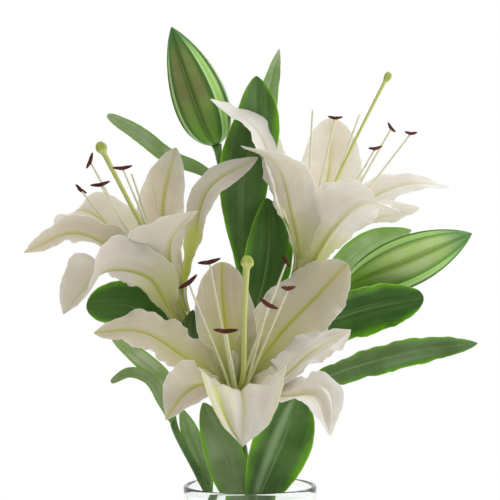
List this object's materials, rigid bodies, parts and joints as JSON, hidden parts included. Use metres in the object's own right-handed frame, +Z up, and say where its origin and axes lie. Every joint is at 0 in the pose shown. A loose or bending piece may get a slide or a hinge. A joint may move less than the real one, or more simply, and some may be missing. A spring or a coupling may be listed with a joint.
{
  "type": "lilies in a vase",
  "caption": "White lilies with buds and leaves, standing in a clear glass vase of water.",
  "frame": {"origin": "centre of the vase's foot, on the surface it stands on", "axes": "+Z up the vase, +X to the right and +Y to the back, seen from the side that the front flower faces"},
  "size_m": [0.3425, 0.201, 0.5793],
  "materials": {
    "vase": "polished",
    "water": "polished",
    "tepal": "satin",
    "stamen": "matte",
    "pistil": "satin",
    "leaf": "satin",
    "stem": "satin",
    "bud": "satin"
  },
  "bodies": {
    "root": {"bright_right_leaf": "leaf", "broad_left_leaf": "leaf", "broad_right_leaf": "leaf", "centre_leaf": "leaf", "crown_leaf": "leaf", "curled_left_leaf": "leaf", "front_flower_pistil": "pistil", "front_flower_stamen_1": "stamen", "front_flower_stamen_2": "stamen", "front_flower_stamen_3": "stamen", "front_flower_stamen_4": "stamen", "front_flower_stamen_5": "stamen", "front_flower_stamen_6": "stamen", "front_flower_tepal_back_left": "tepal", "front_flower_tepal_back_right": "tepal", "front_flower_tepal_front": "tepal", "front_flower_tepal_front_left": "tepal", "front_flower_tepal_front_right": "tepal", "front_flower_tepal_left": "tepal", "front_flower_tepal_right": "tepal", "front_stem": "stem", "high_left_leaf": "leaf", "left_flower_pistil": "pistil", "left_flower_stamen_1": "stamen", "left_flower_stamen_2": "stamen", "left_flower_stamen_3": "stamen", "left_flower_stamen_4": "stamen", "left_flower_stamen_5": "stamen", "left_flower_stamen_6": "stamen", "left_flower_tepal_back_left": "tepal", "left_flower_tepal_back_right": "tepal", "left_flower_tepal_front": "tepal", "left_flower_tepal_front_left": "tepal", "left_flower_tepal_left": "tepal", "left_flower_tepal_right": "tepal", "left_stem": "stem", "long_right_leaf": "leaf", "low_front_leaf": "leaf", "low_left_leaf": "leaf", "low_right_leaf": "leaf", "pale_left_leaf": "leaf", "right_flower_pistil": "pistil", "right_flower_stamen_1": "stamen", "right_flower_stamen_2": "stamen", "right_flower_stamen_3": "stamen", "right_flower_stamen_4": "stamen", "right_flower_stamen_5": "stamen", "right_flower_stamen_6": "stamen", "right_flower_tepal_back": "tepal", "right_flower_tepal_back_left": "tepal", "right_flower_tepal_front": "tepal", "right_flower_tepal_front_left": "tepal", "right_flower_tepal_right_lower": "tepal", "right_flower_tepal_right_upper": "tepal", "right_stem": "stem", "side_bud": "bud", "tall_leaf": "leaf", "top_bud": "bud", "vase": "vase", "water": "water"}
  },
  "joints": []
}
